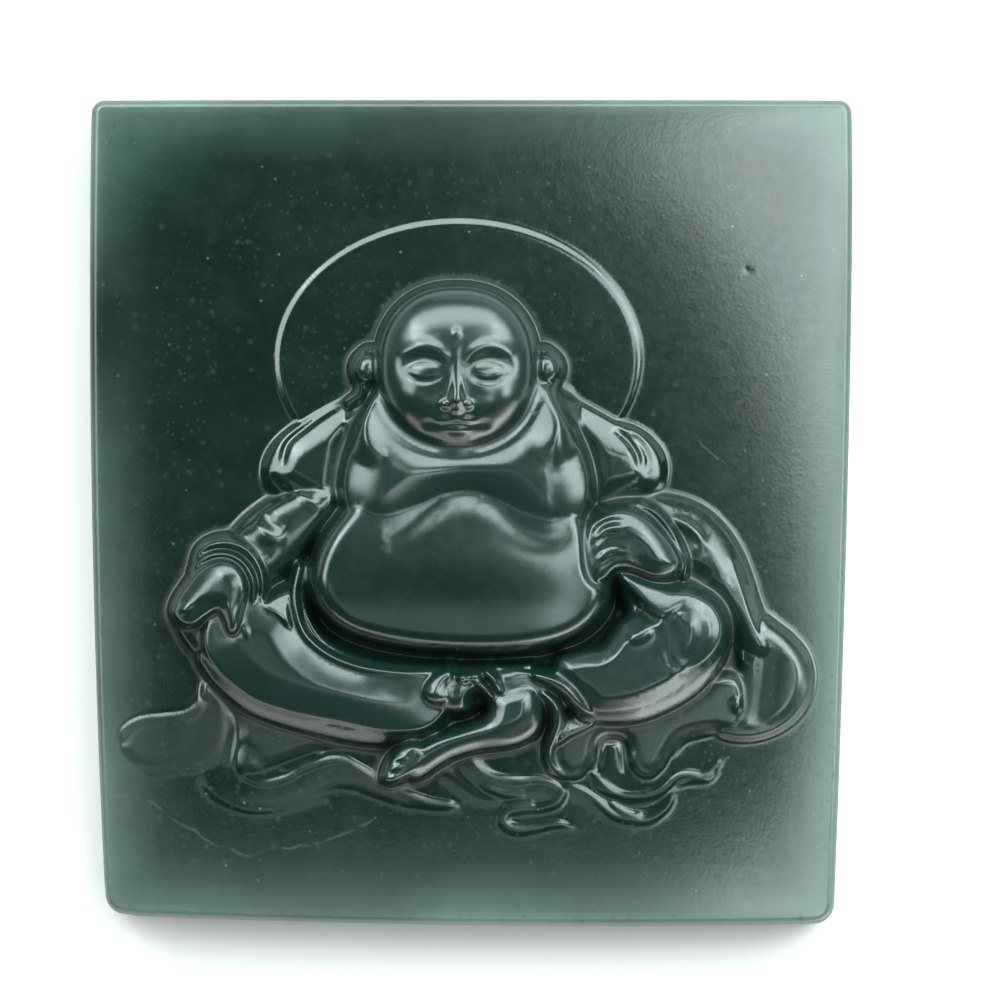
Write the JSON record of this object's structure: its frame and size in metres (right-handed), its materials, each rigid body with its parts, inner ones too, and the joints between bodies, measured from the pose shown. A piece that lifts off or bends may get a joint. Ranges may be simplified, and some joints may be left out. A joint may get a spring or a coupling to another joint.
{
  "type": "jade buddha pendant",
  "caption": "Near-square dark green jade plaque with rounded edges, carved in relief with a seated robed figure, halo, sack and ribbons. Lies on its plain flat back.",
  "frame": {"origin": "middle of the flat back, under the centre of the plaque's outline", "axes": "+Z out of the carved face, +Y towards the figure's head, +X to the viewer's right when the figure is upright"},
  "size_m": [0.0462, 0.05, 0.0107],
  "materials": {
    "jade": "polished"
  },
  "bodies": {
    "root": {"jade_plaque": "jade"}
  },
  "joints": []
}
